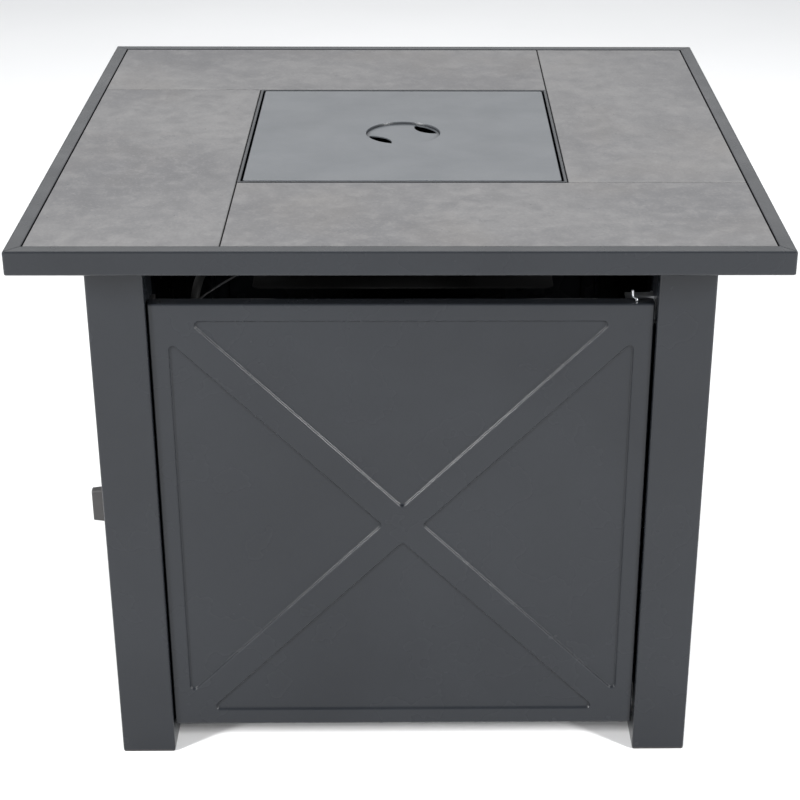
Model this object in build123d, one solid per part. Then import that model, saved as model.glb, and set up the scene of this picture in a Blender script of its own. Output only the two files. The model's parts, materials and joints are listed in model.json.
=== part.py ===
from build123d import *
import math
import os

# A square gas fire-pit table: four post legs, a tiled steel top with a lift-off
# burner lid, four X-embossed body panels (the front one is a hinged door) and a
# gas train behind the left panel. Millimetres, +Z up, front towards -Y, origin on
# the floor under the middle of the table.

# ---------------------------------------------------------------- driving sizes
TOP_SIZE = 762.0          # square table top, edge to edge
TOTAL_HEIGHT = 628.65     # floor to the top of the rim
RIM_HEIGHT = 25.4         # height of the rim band
RIM_LIP = 15.0            # width of the rim's flat lip beside the tiles
BODY_SIZE = 635.0         # across the outer faces of the legs
LEG_SIZE = 58.5           # square leg post
PANEL_BOTTOM = 33.5       # floor to the lower edge of every panel
PANEL_HEIGHT = 512.0
PANEL_RECESS = 6.0        # panel faces sit this far behind the leg faces
PANEL_DEPTH = 15.0        # return flanges of the panels
OPENING_SIZE = 350.0      # outer edge of the steel trim round the burner opening
TILE_THICKNESS = 9.0
PANEL_SHEET = 1.2
TOP_SHEET = 1.5
RIM_SHEET = 1.6
LEG_WALL = 1.5

# --------------------------------------------------------------- derived planes
TOP_HALF = TOP_SIZE / 2
UNDER_TOP = TOTAL_HEIGHT - RIM_HEIGHT
BODY_HALF = BODY_SIZE / 2
LEG_CENTRE = BODY_HALF - LEG_SIZE / 2
LEG_INNER = BODY_HALF - LEG_SIZE
PANEL_FACE = BODY_HALF - PANEL_RECESS
PANEL_TOP = PANEL_BOTTOM + PANEL_HEIGHT
FOOT_HEIGHT = 2.5

# Top: rim lip, tiles, trim and lid are nearly flush with each other.
TILE_TOP = TOTAL_HEIGHT - 0.5
TRAY_TOP = TILE_TOP - TILE_THICKNESS
TRAY_UNDER = TRAY_TOP - TOP_SHEET
TRIM_TOP = TOTAL_HEIGHT - 0.25
TRIM_HALF = OPENING_SIZE / 2
TRIM_STRIP = 3.4
TRIM_INNER = TRIM_HALF - TRIM_STRIP
TRIM_FLANGE = 12.0
LEDGE_TOP = TRAY_UNDER - 6.45
LEDGE_INNER = TRIM_INNER - 13.6
JOINT_GAP = 1.0           # between tiles, and between a tile and the steel
RIM_BEND = 3.0            # bend radius of the rim's lower edge
RIM_RETURN = 14.0         # width of the rim's lower return
LID_GAP = 2.0
LID_HALF = TRIM_INNER - LID_GAP
DISH_RADIUS = 42.5        # pressed dish in the middle of the lid
DISH_DEPTH = 2.6
DISH_SLOPE = 0.6          # how much the dish narrows on its way down
HOLE_ARC = 39.5           # outer arc of each finger hole, about the dish's centre
HOLE_WAIST = 22.5         # nearest the hole comes to the dish's centre
HOLE_SPREAD = 31.0        # degrees from the hole's middle to either tip
HOLE_BEARING = 38.0       # degrees from +X to the middle of the back right hole

# Embossed X: four shallow triangular pockets leave a border and an X proud.
BORDER = 18.5
CROSS_WIDTH = 29.0
POCKET_DEPTH = 2.5
POCKET_SLOPE = 60.0
POCKET_CORNER = 5.0
BEND_RADIUS = 1.2

# Burner pan and everything that hangs under it.
PAN_SHEET = 1.2
PAN_FLANGE_HALF = TRIM_INNER - 0.6
PAN_MOUTH_HALF = 150.0
PAN_FLOOR_HALF = 140.0
PAN_CORNER = 4.0
PAN_FLOOR = 545.0         # underside of the pan's floor
RING_RADIUS = 75.0
RING_TUBE = 9.5
ARM_RADIUS = 7.0
PIPE_WALL = 1.2
PORT_COUNT = 24
BURNER_Z = 562.0
NIPPLE_RADIUS = 10.5
FEED_Z = 519.5            # height of the mixer and of the supply tube's last run
ELBOW_RADIUS = 13.0
MIXER_RADIUS = 11.0
SUPPLY_RADIUS = 4.8
SHIELD_Z = 503.0
SHIELD_HALF = 165.0
ELECTRODE_X = -66.0
ELECTRODE_Y = -66.0
ELECTRODE_RADIUS = 3.5

# Door hinge: a vertical pivot close to the door's right edge.
DOOR_LEFT = -LEG_INNER + 1.5
DOOR_RIGHT = LEG_INNER - 3.0
PIVOT_X = DOOR_RIGHT - 17.5
PIVOT_Y = -PANEL_FACE + 7.5
PIVOT_RADIUS = 1.5
PIVOT_HOLE = PIVOT_RADIUS + 0.05
EAR_SHEET = 2.5
EAR_TOP_Z = PANEL_TOP - PANEL_SHEET - 1.6      # upper face of the top ear
EAR_LOW_Z = PANEL_BOTTOM + PANEL_SHEET + 1.8   # lower face of the bottom ear
NOTCH_HEIGHT = 8.0        # notch in the door's side return that clears an ear

# Controls on the left panel, on one vertical line.
CONTROL_Y = -200.0
KNOB_Z = 255.7
IGNITER_Z = 322.0
POCKET_FACE = PANEL_FACE - POCKET_DEPTH
PLATE_SHEET = 2.0
PLATE_FACE = POCKET_FACE + PLATE_SHEET
KNOB_TRAVEL = 4.0
KNOB_BACK = PLATE_FACE + KNOB_TRAVEL + 1.0
KNOB_FACE = 350.6         # knob's outer face from the middle of the table
GRIP_BASE = 45.5          # the grip bar's height at the skirt
GRIP_END = 39.0           # and at its outer face
STEM_RADIUS = 4.0
STEM_CLEARANCE = 0.05
BONNET_RADIUS = 11.0
BONNET_BORE = 8.3
VALVE_FRONT = 296.0
VALVE_BACK = 262.0
INLET_RADIUS = 7.94       # outside of the flare thread that takes the gas hose

# Base tray that carries the gas cylinder.
BASE_Z = PANEL_BOTTOM + PANEL_SHEET
BASE_SHEET = 1.5
BASE_FRONT = -283.0
BASE_HALF = 300.0
FOOT_RING_RADIUS = 104.0  # inside of the ring that locates the cylinder's foot

# Screws and bolts
SCREW_RADIUS = 2.0
SCREW_HOLE = 2.2
SCREW_HEAD = 4.0
SCREW_HEAD_HEIGHT = 2.2
SCREW_LENGTH = 6.0
SCREW_HEIGHTS = (80.0, 289.5, 499.0)
BOLT_RADIUS = 3.0
BOLT_HOLE = 3.3
BOLT_OFFSET = 37.0        # from the middle of a leg, along the front or back
LEG_PLATE_HALF = 45.0
LEG_PLATE_SHEET = 3.0
PLATE_TOP = UNDER_TOP + LEG_PLATE_SHEET

CORNERS = (
    ("front_left", -1, -1),
    ("front_right", 1, -1),
    ("back_left", -1, 1),
    ("back_right", 1, 1),
)
SIDES = (("front", 0), ("right", 90), ("back", 180), ("left", 270))

os.makedirs("parts", exist_ok=True)


# ----------------------------------------------------------------------- helpers
def block(x0, x1, y0, y1, z0, z1):
    """A box between two corners."""
    middle = Pos((x0 + x1) / 2, (y0 + y1) / 2, (z0 + z1) / 2)
    return middle * Box(abs(x1 - x0), abs(y1 - y0), abs(z1 - z0))


def rod(start, end, radius):
    """A round bar from one point to another."""
    start = Vector(*start)
    along = Vector(*end) - start
    return extrude(Plane(start, z_dir=along) * Circle(radius), along.length)


def hex_bar(start, end, across_flats):
    """A hexagonal bar from one point to another."""
    start = Vector(*start)
    along = Vector(*end) - start
    outline = RegularPolygon(across_flats / math.sqrt(3), 6)
    return extrude(Plane(start, z_dir=along) * outline, along.length)


def square_plate(half, z0, z1, corner=0.0):
    """A square plate about the table's axis."""
    side = 2 * half
    outline = RectangleRounded(side, side, corner) if corner else Rectangle(side, side)
    return extrude(Pos(0, 0, z0) * outline, z1 - z0)


def square_ring(outer, inner, z0, z1):
    """A square frame about the table's axis."""
    return square_plate(outer, z0, z1) - square_plate(inner, z0 - 1, z1 + 1)


def square_funnel(top_half, top_z, low_half, low_z, corner):
    """A square tapered block with rounded corners."""
    top = Pos(0, 0, top_z) * RectangleRounded(2 * top_half, 2 * top_half, corner)
    low = Pos(0, 0, low_z) * RectangleRounded(2 * low_half, 2 * low_half, corner)
    return loft([low.face(), top.face()])


def tube_along(points, radii, radius):
    """A round tube or wire along straight runs joined by arcs."""
    path = FilletPolyline(*points, radius=radii)
    section = Plane(path @ 0, z_dir=path % 0) * Circle(radius)
    return sweep(section, path=path)


def bend_radius(before, corner, after):
    """The largest even arc that two runs leave room for at their corner."""
    run_in = Vector(*corner) - Vector(*before)
    run_out = Vector(*after) - Vector(*corner)
    half_turn = math.radians(run_in.get_angle(run_out)) / 2
    return 0.45 * min(run_in.length, run_out.length) / math.tan(half_turn)


def button_screw(seat, direction):
    """Small button-head screw: its head stands off the seat, its shank goes in."""
    seat = Vector(*seat)
    inward = Vector(*direction)
    head = rod(seat, seat - inward * SCREW_HEAD_HEIGHT, SCREW_HEAD)
    rim = head.edges().filter_by(GeomType.CIRCLE).sort_by(lambda e: (e.center() - seat).length)[-1]
    head = fillet(rim, 1.4)
    head -= hex_bar(seat - inward * (SCREW_HEAD_HEIGHT + 1), seat - inward * 0.9, 2.5)
    shank = rod(seat, seat + inward * SCREW_LENGTH, SCREW_RADIUS)
    return head + shank


def group(shapes):
    """Several separate solids in one node."""
    return Compound(children=list(shapes))


def save(name, shape):
    """Write one node."""
    export_step(shape, f"parts/{name}.step")


# -------------------------------------------------------------- where screws go
def panel_screw_seats():
    """Seats and directions of the screws that hold the fixed panels to the legs."""
    inner = LEG_INNER - PANEL_SHEET
    row = PANEL_FACE - PANEL_DEPTH / 2 - 1
    seats = []
    for z in SCREW_HEIGHTS:
        for sx in (-1, 1):
            for sy in (-1, 1):
                seats.append(((sx * row, sy * inner, z), (0, sy, 0)))
            seats.append(((sx * inner, row, z), (sx, 0, 0)))
    return seats


def ear_screw_seats():
    """Seats of the screws that hold the two hinge ears to the front right leg."""
    x = LEG_INNER - EAR_SHEET
    y = PIVOT_Y + 28
    heights = (EAR_TOP_Z - 10, EAR_TOP_Z - 22, EAR_LOW_Z + 10, EAR_LOW_Z + 22)
    return [((x, y, z), (1, 0, 0)) for z in heights]


def catch_screw_seats():
    """Seats of the screws that hold the magnetic catch to the front left leg."""
    return [((-LEG_INNER + 4, -286, z), (-1, 0, 0)) for z in (514.3, 533.7)]


def bracket_screw_seats():
    """Seats of the screws that hold the tray brackets to the front legs."""
    return [((sx * (LEG_INNER - 2), -274, 26.5), (sx, 0, 0)) for sx in (-1, 1)]


def control_screw_seats():
    """Seats of the screws at the corners of the control plate."""
    rows = (KNOB_Z - 31, IGNITER_Z + 29)
    return [((-PLATE_FACE, CONTROL_Y + dy, z), (1, 0, 0)) for z in rows for dy in (-26, 26)]


# --------------------------------------------------------------------- leg posts
def leg_post(sx, sy):
    """Square tube leg with softly bent corners and its screw holes."""
    inner = LEG_SIZE - 2 * LEG_WALL
    section = RectangleRounded(LEG_SIZE, LEG_SIZE, 2.2) - RectangleRounded(inner, inner, 0.7)
    height = UNDER_TOP - FOOT_HEIGHT
    leg = extrude(Pos(sx * LEG_CENTRE, sy * LEG_CENTRE, FOOT_HEIGHT) * section, height)
    seats = panel_screw_seats() + ear_screw_seats() + catch_screw_seats() + bracket_screw_seats()
    for seat, direction in seats:
        near_x = abs(seat[0] - sx * LEG_CENTRE) < LEG_SIZE
        near_y = abs(seat[1] - sy * LEG_CENTRE) < LEG_SIZE
        if near_x and near_y:
            tip = Vector(*seat) + Vector(*direction) * (SCREW_LENGTH + 1)
            leg -= rod(seat, tip, SCREW_RADIUS)
    return leg


def foot_cap(sx, sy):
    """Moulded cap: a thin sole under the post and a plug inside it."""
    sole = extrude(RectangleRounded(LEG_SIZE - 1, LEG_SIZE - 1, 2.0), FOOT_HEIGHT)
    sole = chamfer(sole.edges().group_by(Axis.Z)[0], 0.6)
    plug_side = LEG_SIZE - 2 * LEG_WALL - 0.2
    plug = extrude(RectangleRounded(plug_side, plug_side, 0.8), 14.0)
    well = extrude(Pos(0, 0, 4) * Rectangle(plug_side - 6, plug_side - 6), 14.0)
    return Pos(sx * LEG_CENTRE, sy * LEG_CENTRE, 0) * (sole + plug - well)


def leg_plate(sx, sy):
    """Square plate welded on a post, bolted to the channel above it."""
    x = sx * LEG_CENTRE
    y = sy * LEG_CENTRE
    half = LEG_PLATE_HALF
    plate = block(x - half, x + half, y - half, y + half, UNDER_TOP, PLATE_TOP)
    plate = fillet(plate.edges().filter_by(Axis.Z), 6)
    for dx in (-BOLT_OFFSET, BOLT_OFFSET):
        plate -= rod((x + dx, y, UNDER_TOP - 1), (x + dx, y, PLATE_TOP + 1), BOLT_HOLE)
    return plate


def leg_bolts():
    """Hexagon bolts that come up through the leg plates."""
    bolts = []
    for _, sx, sy in CORNERS:
        for dx in (-BOLT_OFFSET, BOLT_OFFSET):
            x = sx * LEG_CENTRE + dx
            y = sy * LEG_CENTRE
            head = hex_bar((x, y, UNDER_TOP - 4), (x, y, UNDER_TOP), 10)
            bolts.append(head + rod((x, y, UNDER_TOP), (x, y, UNDER_TOP + 10), BOLT_RADIUS))
    return group(bolts)


# ------------------------------------------------------------------- table top
def top_rail():
    """Front rail of the rim: a folded channel with mitred ends."""
    lip_inner = TOP_HALF - RIM_LIP
    wall_inner = TOP_HALF - RIM_SHEET
    outline = [
        (-TOP_HALF, UNDER_TOP),
        (-TOP_HALF, TOTAL_HEIGHT),
        (-lip_inner, TOTAL_HEIGHT),
        (-lip_inner, TRAY_TOP),
        (-lip_inner - RIM_SHEET, TRAY_TOP),
        (-lip_inner - RIM_SHEET, TOTAL_HEIGHT - RIM_SHEET),
        (-wall_inner, TOTAL_HEIGHT - RIM_SHEET),
        (-wall_inner, UNDER_TOP + RIM_SHEET),
        (-TOP_HALF + RIM_RETURN, UNDER_TOP + RIM_SHEET),
        (-TOP_HALF + RIM_RETURN, UNDER_TOP),
    ]
    section = make_face(Polyline(*outline, close=True))
    corners = section.vertices()
    section = fillet(corners.sort_by_distance((-TOP_HALF, UNDER_TOP))[0], RIM_BEND)
    section = fillet(section.vertices().sort_by_distance((-TOP_HALF, TOTAL_HEIGHT))[0], 1.4)
    section = fillet(section.vertices().sort_by_distance((-lip_inner, TOTAL_HEIGHT))[0], 1.0)
    bar = extrude(Plane.YZ * section, TOP_HALF + 5, both=True)
    wedge = make_face(Polyline((0, 0), (-500, -500), (500, -500), close=True))
    return bar & extrude(Pos(0, 0, UNDER_TOP - 5) * wedge, RIM_HEIGHT + 10)


def tile_tray():
    """Steel tray under the tiles, with a turned-down edge and the burner opening."""
    outer = TOP_HALF - RIM_SHEET
    tray = square_plate(outer, UNDER_TOP + RIM_SHEET, TRAY_TOP)
    tray -= square_plate(outer - TOP_SHEET, UNDER_TOP, TRAY_UNDER)
    return tray - square_plate(TRIM_HALF, UNDER_TOP, TOTAL_HEIGHT)


def tile():
    """Back tile of the pinwheel, from the left rim to the opening's right edge."""
    rim_edge = TOP_HALF - RIM_LIP - JOINT_GAP
    near = TRIM_HALF + JOINT_GAP - 0.2
    slab = block(-rim_edge, near - JOINT_GAP, near, rim_edge, TRAY_TOP, TILE_TOP)
    return chamfer(slab.edges().group_by(Axis.Z)[-1], 0.7)


def opening_trim():
    """Square steel trim: visible hem, a flange under the tray and a ledge for the pan."""
    hem = square_ring(TRIM_HALF, TRIM_INNER, TRAY_UNDER, TRIM_TOP)
    hem = fillet(hem.edges().group_by(Axis.Z)[-1], 0.7)
    flange = square_ring(TRIM_HALF + TRIM_FLANGE, TRIM_INNER, TRAY_UNDER - TOP_SHEET, TRAY_UNDER)
    wall = square_ring(TRIM_INNER + TOP_SHEET, TRIM_INNER, LEDGE_TOP, TRAY_UNDER - TOP_SHEET)
    ledge = square_ring(TRIM_INNER + TOP_SHEET, LEDGE_INNER, LEDGE_TOP - TOP_SHEET, LEDGE_TOP)
    return hem + flange + wall + ledge


def channel(length, holes):
    """U-shaped stiffener along X, open upwards, with clear bolt holes in its web."""
    half = 20.0
    beam = block(-length / 2, length / 2, -half, half, PLATE_TOP, TRAY_UNDER)
    slot = half - TOP_SHEET
    beam -= block(-length, length, -slot, slot, PLATE_TOP + TOP_SHEET, TRAY_UNDER + 1)
    for x in holes:
        beam -= rod((x, 0, PLATE_TOP - 1), (x, 0, PLATE_TOP + 5), BOLT_RADIUS)
    return beam


def finger_hole(bearing):
    """Lens-shaped hole through the lid's dish."""
    tip_a = math.radians(bearing - HOLE_SPREAD)
    tip_b = math.radians(bearing + HOLE_SPREAD)
    middle = math.radians(bearing)
    start = (HOLE_ARC * math.cos(tip_a), HOLE_ARC * math.sin(tip_a))
    end = (HOLE_ARC * math.cos(tip_b), HOLE_ARC * math.sin(tip_b))
    far = (HOLE_ARC * math.cos(middle), HOLE_ARC * math.sin(middle))
    near = (HOLE_WAIST * math.cos(middle), HOLE_WAIST * math.sin(middle))
    outline = ThreePointArc(start, far, end) + ThreePointArc(end, near, start)
    face = make_face(outline)
    face = fillet(face.vertices(), 1.5)
    return extrude(Pos(0, 0, TRIM_TOP - 10) * face, 20)


def lid():
    """Folded steel cover with a round dish and two finger holes."""
    low = LEDGE_TOP + PAN_SHEET + 0.3
    cover = square_plate(LID_HALF, low, TRIM_TOP, 3.0)
    cover = fillet(cover.edges().group_by(Axis.Z)[-1], 1.5)
    cover -= square_plate(LID_HALF - TOP_SHEET, low - 1, TRIM_TOP - TOP_SHEET, 1.5)
    narrow = DISH_RADIUS - DISH_SLOPE
    boss = Cone(narrow + TOP_SHEET, DISH_RADIUS + TOP_SHEET, DISH_DEPTH)
    cover += Pos(0, 0, TRIM_TOP - TOP_SHEET - DISH_DEPTH / 2) * boss
    cover -= Pos(0, 0, TRIM_TOP - DISH_DEPTH / 2) * Cone(narrow, DISH_RADIUS, DISH_DEPTH)
    brim = cover.edges().filter_by(GeomType.CIRCLE)
    brim = [e for e in brim if e.center().Z > TRIM_TOP - 0.01 and abs(e.radius - DISH_RADIUS) < 0.1]
    cover = fillet(brim, 0.6)
    for bearing in (HOLE_BEARING, HOLE_BEARING + 180):
        cover -= finger_hole(bearing)
    return cover


# -------------------------------------------------------------- embossed panels
def pocket_outlines(width, height):
    """The four triangles of the embossed X, in the panel's plane about its middle."""
    diagonal = math.hypot(width, height)
    apex_up = CROSS_WIDTH / 2 * diagonal / width
    apex_side = CROSS_WIDTH / 2 * diagonal / height
    reach_up = height / 2 - BORDER
    reach_side = width / 2 - BORDER
    half_wide = (reach_up - apex_up) * width / height
    half_tall = (reach_side - apex_side) * height / width
    triangles = []
    for s in (-1, 1):
        triangles.append([(0, s * apex_up), (-half_wide, s * reach_up), (half_wide, s * reach_up)])
        triangles.append([(s * apex_side, 0), (s * reach_side, half_tall), (s * reach_side, -half_tall)])
    faces = [make_face(Polyline(*points, close=True)) for points in triangles]
    return [fillet(face.vertices(), POCKET_CORNER) for face in faces]


def pocket_block(outline, grow, top):
    """One pocket's volume: steep walls that narrow as they go down."""
    run = POCKET_DEPTH / math.tan(math.radians(POCKET_SLOPE))
    upper = Pos(0, 0, top) * offset(outline, grow)
    lower = Pos(0, 0, top - POCKET_DEPTH) * offset(outline, grow - run)
    return loft([lower.face(), upper.face()])


def embossed_panel(width, height):
    """Sheet panel with returns all round. Outer face at z = 0, outward is +Z."""
    sheet = PANEL_SHEET
    slab = Pos(0, 0, -PANEL_DEPTH / 2) * Box(width, height, PANEL_DEPTH)
    slab = fillet(slab.edges().group_by(Axis.Z)[-1], 1.5)
    pockets = pocket_outlines(width, height)
    for outline in pockets:
        slab -= pocket_block(outline, 0.0, 0.0)
    bends = []
    for edge in slab.edges():
        middle = edge.center()
        inside = abs(middle.X) < width / 2 - 4 and abs(middle.Y) < height / 2 - 4
        level = min(abs(middle.Z), abs(middle.Z + POCKET_DEPTH)) < 0.01
        if inside and level:
            bends.append(edge)
    slab = fillet(bends, BEND_RADIUS)
    hollow = Pos(0, 0, -PANEL_DEPTH / 2 - sheet) * Box(width - 2 * sheet, height - 2 * sheet, PANEL_DEPTH)
    grow = sheet * math.tan(math.radians(POCKET_SLOPE / 2))
    for outline in pockets:
        hollow -= pocket_block(outline, grow, -sheet)
    return slab - hollow


def stand(panel, turn, face):
    """Stand a flat panel up, its outer face this far from the table's axis."""
    upright = Pos(0, -face, PANEL_BOTTOM + PANEL_HEIGHT / 2) * (Rot(90, 0, 0) * panel)
    return Rot(0, 0, turn) * upright


def fixed_panel():
    """Plain embossed panel between two legs, before it is turned to its side."""
    return stand(embossed_panel(2 * LEG_INNER, PANEL_HEIGHT), 0, PANEL_FACE)


def drill_panel(panel):
    """Clearance holes for the screws in the panel's side returns."""
    for seat, direction in panel_screw_seats():
        tip = Vector(*seat) + Vector(*direction) * 3
        back = Vector(*seat) - Vector(*direction) * 1
        panel -= rod(back, tip, SCREW_HOLE)
    return panel


def left_panel():
    """Left panel with the holes for the valve, the igniter and the plate's screws."""
    panel = drill_panel(Rot(0, 0, 270) * fixed_panel())
    for z, radius in ((KNOB_Z, BONNET_RADIUS + 0.2), (IGNITER_Z, 10.2)):
        panel -= rod((-330, CONTROL_Y, z), (-300, CONTROL_Y, z), radius)
    for seat, _ in control_screw_seats():
        panel -= rod((-330, seat[1], seat[2]), (-300, seat[1], seat[2]), SCREW_HOLE)
    return panel


def door_panel():
    """Front panel: pivot holes in its top and bottom returns, notches for the ears."""
    width = DOOR_RIGHT - DOOR_LEFT
    door = stand(embossed_panel(width, PANEL_HEIGHT), 0, PANEL_FACE)
    door = Pos((DOOR_LEFT + DOOR_RIGHT) / 2, 0, 0) * door
    back = -PANEL_FACE + PANEL_DEPTH + 1
    for z0, z1 in (
        (PANEL_BOTTOM + PANEL_SHEET, PANEL_BOTTOM + PANEL_SHEET + NOTCH_HEIGHT),
        (PANEL_TOP - PANEL_SHEET - NOTCH_HEIGHT, PANEL_TOP - PANEL_SHEET),
    ):
        door -= block(DOOR_RIGHT - 2, DOOR_RIGHT + 1, -PANEL_FACE + 2.5, back, z0, z1)
    top_hole = rod((PIVOT_X, PIVOT_Y, PANEL_TOP - 3), (PIVOT_X, PIVOT_Y, PANEL_TOP + 1), PIVOT_RADIUS)
    low_hole = rod((PIVOT_X, PIVOT_Y, PANEL_BOTTOM - 1), (PIVOT_X, PIVOT_Y, PANEL_BOTTOM + 3), PIVOT_HOLE)
    return door - top_hole - low_hole


# -------------------------------------------------------------------- door hinge
def hinge_ear(z0, upwards):
    """Cranked ear: it reaches round behind the door's edge to the pivot."""
    side = LEG_INNER - PIVOT_X
    outline = [(-5.2, 0), (-9, 8), (-9, 31), (side, 31), (side, 21), (-3, 21), (-3, 5), (0, 0)]
    arm = make_face(Polyline(*[(PIVOT_X + x, PIVOT_Y + y) for x, y in outline], close=True))
    eye = Pos(PIVOT_X, PIVOT_Y) * Circle(5.2)
    ear = extrude(Pos(0, 0, z0) * (arm + eye), EAR_SHEET)
    far = z0 + 31 if upwards else z0 + EAR_SHEET - 31
    low = min(z0, far)
    high = max(z0 + EAR_SHEET, far)
    ear += block(LEG_INNER - EAR_SHEET, LEG_INNER, PIVOT_Y + 21, PIVOT_Y + 35, low, high)
    radius = PIVOT_RADIUS if upwards else PIVOT_HOLE
    ear -= rod((PIVOT_X, PIVOT_Y, z0 - 1), (PIVOT_X, PIVOT_Y, z0 + 4), radius)
    for seat, _ in ear_screw_seats():
        ear -= rod((seat[0] - 1, seat[1], seat[2]), (LEG_INNER + 1, seat[1], seat[2]), SCREW_HOLE)
    return ear


def hinge_washer():
    """Nylon washer between the top ear and the door's top return."""
    disc = rod((PIVOT_X, PIVOT_Y, EAR_TOP_Z), (PIVOT_X, PIVOT_Y, EAR_TOP_Z + 1.5), 5.0)
    return disc - rod((PIVOT_X, PIVOT_Y, EAR_TOP_Z - 1), (PIVOT_X, PIVOT_Y, EAR_TOP_Z + 3), PIVOT_RADIUS + 0.3)


def hinge_pin_top():
    """Drop-in pivot pin whose bent handle lies over the door's top edge."""
    foot = EAR_TOP_Z - EAR_SHEET - 4
    bend = PANEL_TOP + 2.4
    points = [
        (PIVOT_X, PIVOT_Y, foot),
        (PIVOT_X, PIVOT_Y, bend),
        (PIVOT_X - 4, PIVOT_Y + 2, bend + 2.5),
        (PIVOT_X - 4.5, PIVOT_Y + 2, bend + 9),
    ]
    return tube_along(points, [2.0, 2.0], PIVOT_RADIUS)


def hinge_pin_bottom():
    """Riveted stub that points down from the bottom ear into the door."""
    shank = rod((PIVOT_X, PIVOT_Y, PANEL_BOTTOM + 0.1), (PIVOT_X, PIVOT_Y, EAR_LOW_Z + EAR_SHEET), PIVOT_RADIUS)
    top = EAR_LOW_Z + EAR_SHEET
    head = rod((PIVOT_X, PIVOT_Y, top), (PIVOT_X, PIVOT_Y, top + 1.5), 3.6)
    return shank + head


def door_catch():
    """Magnetic catch on the front left leg: a housing with its two screw holes."""
    body = block(-LEG_INNER, -LEG_INNER + 4, -292, -266, 510, 538)
    body += block(-LEG_INNER, -LEG_INNER + 15, -292, -279, 519, 529)
    for seat, _ in catch_screw_seats():
        body -= rod((seat[0] + 1, seat[1], seat[2]), (seat[0] - 6, seat[1], seat[2]), SCREW_RADIUS)
    return body


def strike_plate():
    """Steel angle inside the door's free edge that the magnet holds."""
    inside = DOOR_LEFT + PANEL_SHEET
    plate = block(inside, inside + 1.5, -305, -293.8, 517, 531)
    return plate + block(inside, inside + 13, -295.3, -293.8, 517, 531)


# --------------------------------------------------------------------- base tray
def base_tray():
    """Floor plate on the panels' lower returns, notched round the legs."""
    edge = LEG_INNER - 2.0
    tray = block(-BASE_HALF, BASE_HALF, -edge, edge, BASE_Z, BASE_Z + BASE_SHEET)
    tray += block(-edge, edge, BASE_FRONT, BASE_HALF, BASE_Z, BASE_Z + BASE_SHEET)
    tray += block(-225, 225, BASE_FRONT, BASE_FRONT + BASE_SHEET, BASE_Z, BASE_Z + 12)
    for x in (-150, 0, 150):
        for y in (-170, 170):
            tray -= block(x - 30, x + 30, y - 3, y + 3, BASE_Z - 1, BASE_Z + 3)
    return tray


def tank_ring():
    """Steel ring on the base tray that keeps the cylinder's foot in place."""
    low = BASE_Z + BASE_SHEET
    ring = rod((0, 0, low), (0, 0, low + 20), FOOT_RING_RADIUS + 2)
    return ring - rod((0, 0, low - 1), (0, 0, low + 21), FOOT_RING_RADIUS)


def tray_brackets():
    """Two small angles on the front legs under the base tray's front corners."""
    brackets = []
    for sx in (-1, 1):
        face = sx * LEG_INNER
        angle = block(face, face - sx * 2, -284, -264, 22, BASE_Z)
        angle += block(face, face - sx * 18, -284, -264, BASE_Z - 2, BASE_Z)
        angle -= rod((face - sx * 4, -274, 26.5), (face + sx, -274, 26.5), SCREW_RADIUS)
        brackets.append(angle)
    return group(brackets)


# -------------------------------------------------------------- burner and pan
def burner_pan():
    """Square welded pan that hangs in the trim: a floor and four mitred sides with flanges."""
    flange_top = LEDGE_TOP + PAN_SHEET
    floor_top = PAN_FLOOR + PAN_SHEET
    outer_half = PAN_FLOOR_HALF + PAN_SHEET
    sides = square_plate(PAN_FLANGE_HALF, LEDGE_TOP, flange_top, 3.0)
    sides += square_funnel(PAN_MOUTH_HALF + PAN_SHEET, LEDGE_TOP + 0.01, outer_half, floor_top, PAN_CORNER)
    sides -= square_funnel(PAN_MOUTH_HALF, flange_top + 0.01, PAN_FLOOR_HALF, floor_top - 0.01,
                           PAN_CORNER - PAN_SHEET)
    far = PAN_FLANGE_HALF + 10
    wedge = make_face(Polyline((0, 0), (far, far), (far, -far), close=True))
    side = sides & extrude(Pos(0, 0, PAN_FLOOR) * wedge, flange_top - PAN_FLOOR + 5)
    floor = square_plate(outer_half, PAN_FLOOR, floor_top, PAN_CORNER)
    holes = [(0, 0, NIPPLE_RADIUS + 0.3), (ELECTRODE_X, ELECTRODE_Y, ELECTRODE_RADIUS + 1)]
    holes += [(sx * 115, sy * 115, 3.0) for _, sx, sy in CORNERS]
    for x, y, radius in holes:
        floor -= rod((x, y, PAN_FLOOR - 2), (x, y, PAN_FLOOR + 5), radius)
    return group([floor] + [Rot(0, 0, 90 * i) * side for i in range(4)])


def burner_half(bore):
    """Right half of the hollow ring, with its arm from the hub and its gas ports."""
    centre = (0, 0, BURNER_Z)
    ring_side = (RING_RADIUS, 0, BURNER_Z)
    shapes = []
    for wall in (0.0, PIPE_WALL):
        section = Plane.YZ * (Pos(-RING_RADIUS, BURNER_Z) * Circle(RING_TUBE - wall))
        shapes.append(revolve(section, Axis.Z, 180) + rod(centre, ring_side, ARM_RADIUS - wall))
    half = shapes[0] - shapes[1] - bore
    for i in range(PORT_COUNT // 2):
        angle = math.pi * ((i + 0.5) / (PORT_COUNT // 2) - 0.5)
        x = RING_RADIUS * math.cos(angle)
        y = RING_RADIUS * math.sin(angle)
        half -= rod((x, y, BURNER_Z + 6), (x, y, BURNER_Z + 12), 1.25)
    return half


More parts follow.
